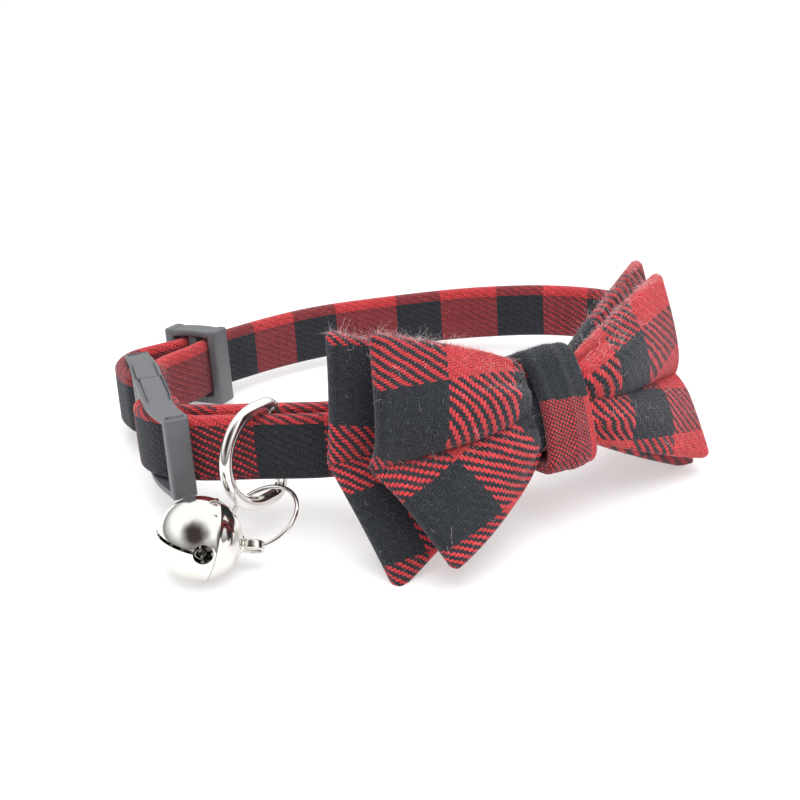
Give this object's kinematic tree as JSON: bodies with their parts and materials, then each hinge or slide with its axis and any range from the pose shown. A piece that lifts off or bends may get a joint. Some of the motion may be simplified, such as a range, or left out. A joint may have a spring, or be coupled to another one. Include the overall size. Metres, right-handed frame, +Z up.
{
  "type": "pet bow tie collar",
  "caption": "Narrow cloth pet collar standing open on its edge, with a layered bow tie, a breakaway buckle, a slider, a D-ring and a small bell.",
  "frame": {"origin": "middle of the bounding box's bottom face, on the table that the collar stands on", "axes": "+X along the bow, from the buckle's side to the bow's side; -Y the way that the bow faces; +Z up, across the strap's width"},
  "size_m": [0.1134, 0.0918, 0.0388],
  "materials": {
    "check_cloth": "brushed flannel twill in a red and charcoal check",
    "black_plastic": "matte moulded",
    "nickel_wire": "polished nickel plate",
    "nickel_bell": "polished nickel plate"
  },
  "bodies": {
    "root": {"collar_strap": "check_cloth", "bow_back": "check_cloth", "bow_front": "check_cloth", "bow_knot": "check_cloth", "buckle_far": "black_plastic", "buckle_near": "black_plastic", "slider": "black_plastic", "d_ring": "nickel_wire", "jump_ring": "nickel_wire", "bell_shell": "nickel_bell", "bell_cap": "nickel_bell", "bell_ball": "nickel_bell"}
  },
  "joints": []
}
